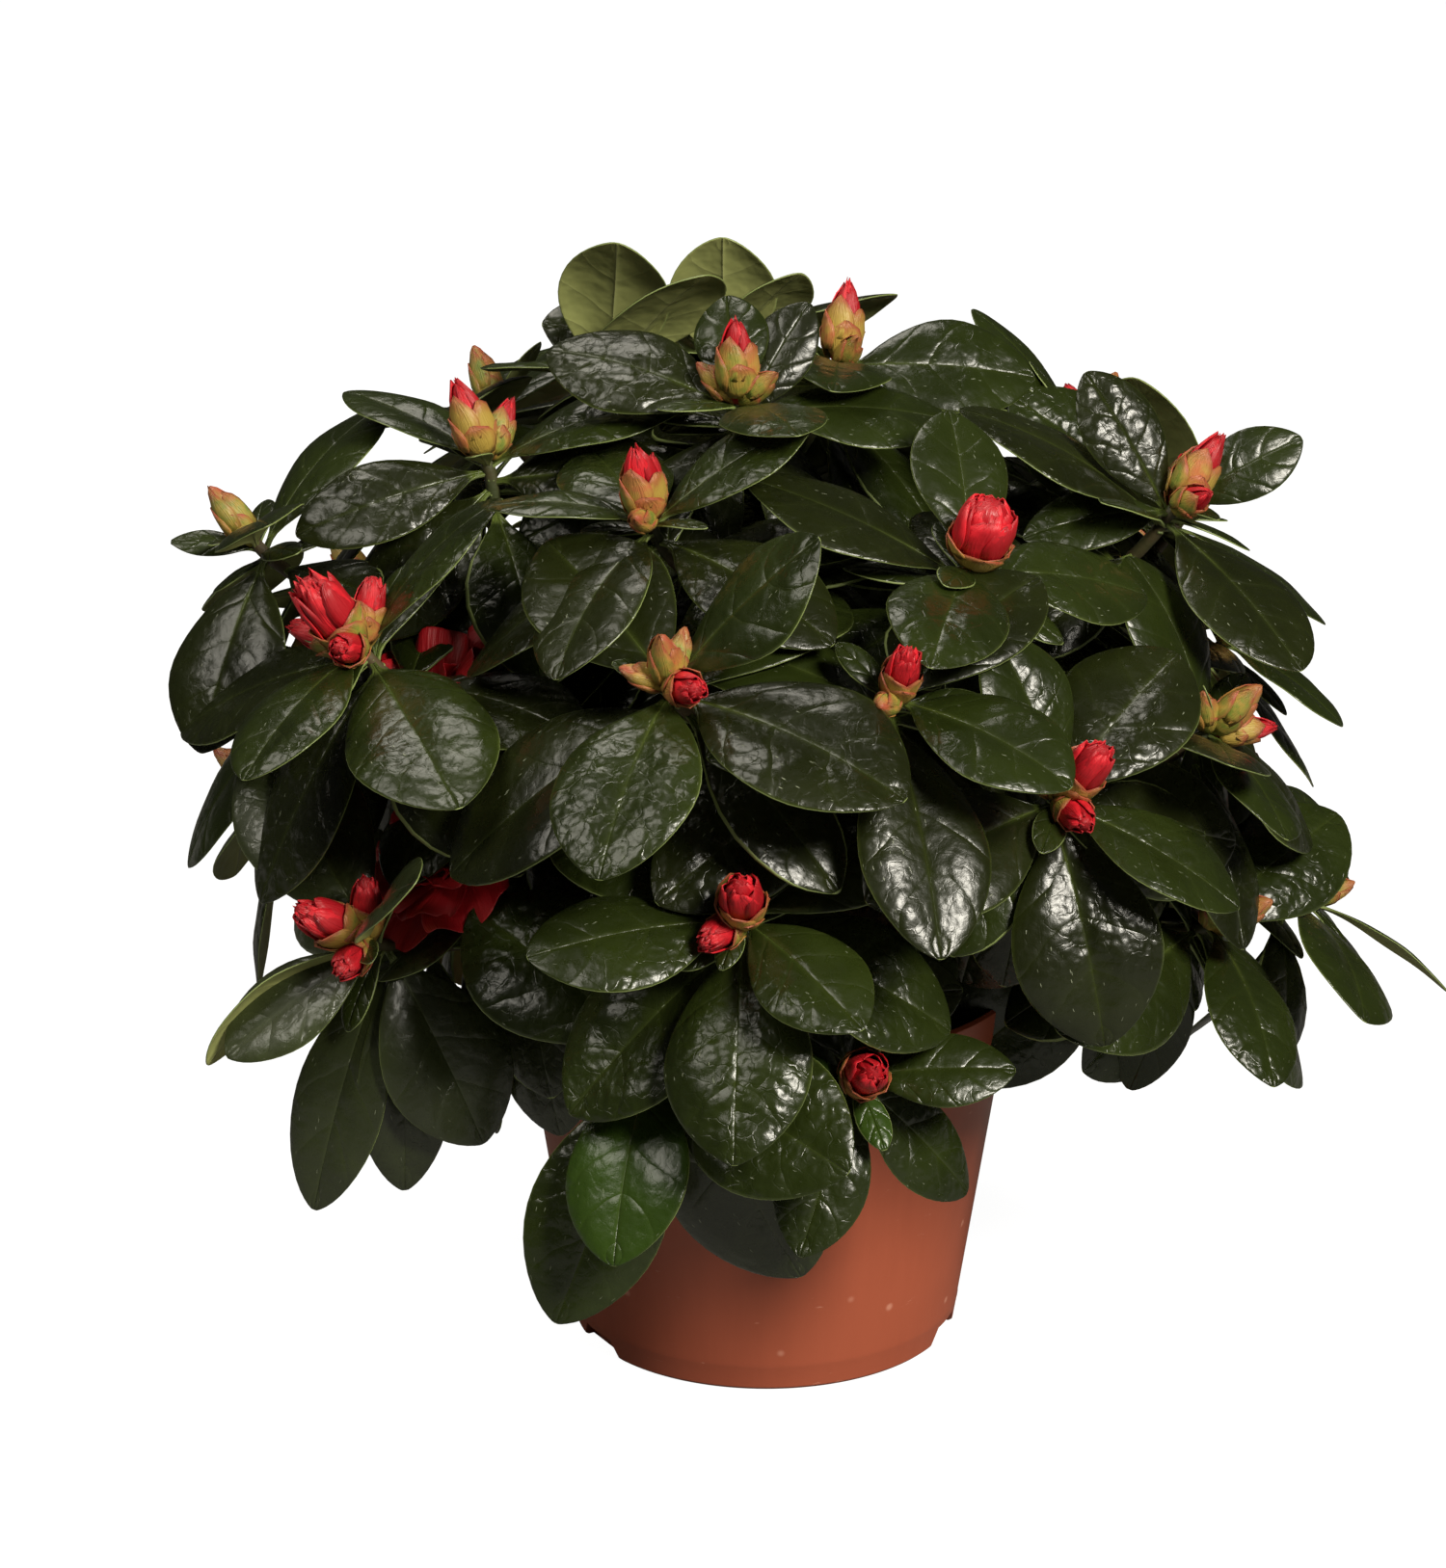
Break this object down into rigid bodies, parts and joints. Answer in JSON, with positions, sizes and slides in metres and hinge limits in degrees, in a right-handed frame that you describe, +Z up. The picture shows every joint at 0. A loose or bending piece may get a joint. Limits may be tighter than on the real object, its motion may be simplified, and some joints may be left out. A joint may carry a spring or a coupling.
{
  "type": "potted azalea shrub",
  "caption": "Low, rounded evergreen azalea with glossy leaf rosettes, fat buds and a few open double blooms, standing in its own plastic nursery pot.",
  "frame": {"origin": "middle of the pot's flat underside", "axes": "+Z up along the pot's axis, -Y towards the front of the plant, +X to its right"},
  "size_m": [0.2917, 0.2848, 0.2569],
  "materials": {
    "pot_plastic": "satin",
    "peat": "matte",
    "bark": "matte",
    "foliage": "satin"
  },
  "bodies": {
    "root": {"pot": "pot_plastic", "root_ball": "peat", "trunk": "bark", "bough_upper_front": "bark", "foliage_upper_front": "foliage", "bough_front": "bark", "foliage_front": "foliage", "bough_left": "bark", "foliage_left": "foliage", "bough_front_right": "bark", "foliage_front_right": "foliage", "bough_upper_left": "bark", "foliage_upper_left": "foliage", "bough_upper_right": "bark", "foliage_upper_right": "foliage", "bough_top": "bark", "foliage_top": "foliage", "bough_low_left": "bark", "foliage_low_left": "foliage", "bough_low_front": "bark", "foliage_low_front": "foliage", "bough_low_right": "bark", "foliage_low_right": "foliage", "bough_back_upper_right": "bark", "foliage_back_upper_right": "foliage", "bough_back_upper_left": "bark", "foliage_back_upper_left": "foliage", "bough_back_right": "bark", "foliage_back_right": "foliage", "bough_back_middle": "bark", "foliage_back_middle": "foliage", "bough_side_left": "bark", "foliage_side_left": "foliage", "bough_back_low_right": "bark", "foliage_back_low_right": "foliage", "bough_back_low_left": "bark", "foliage_back_low_left": "foliage", "bough_side_low_left": "bark", "foliage_side_low_left": "foliage"}
  },
  "joints": []
}
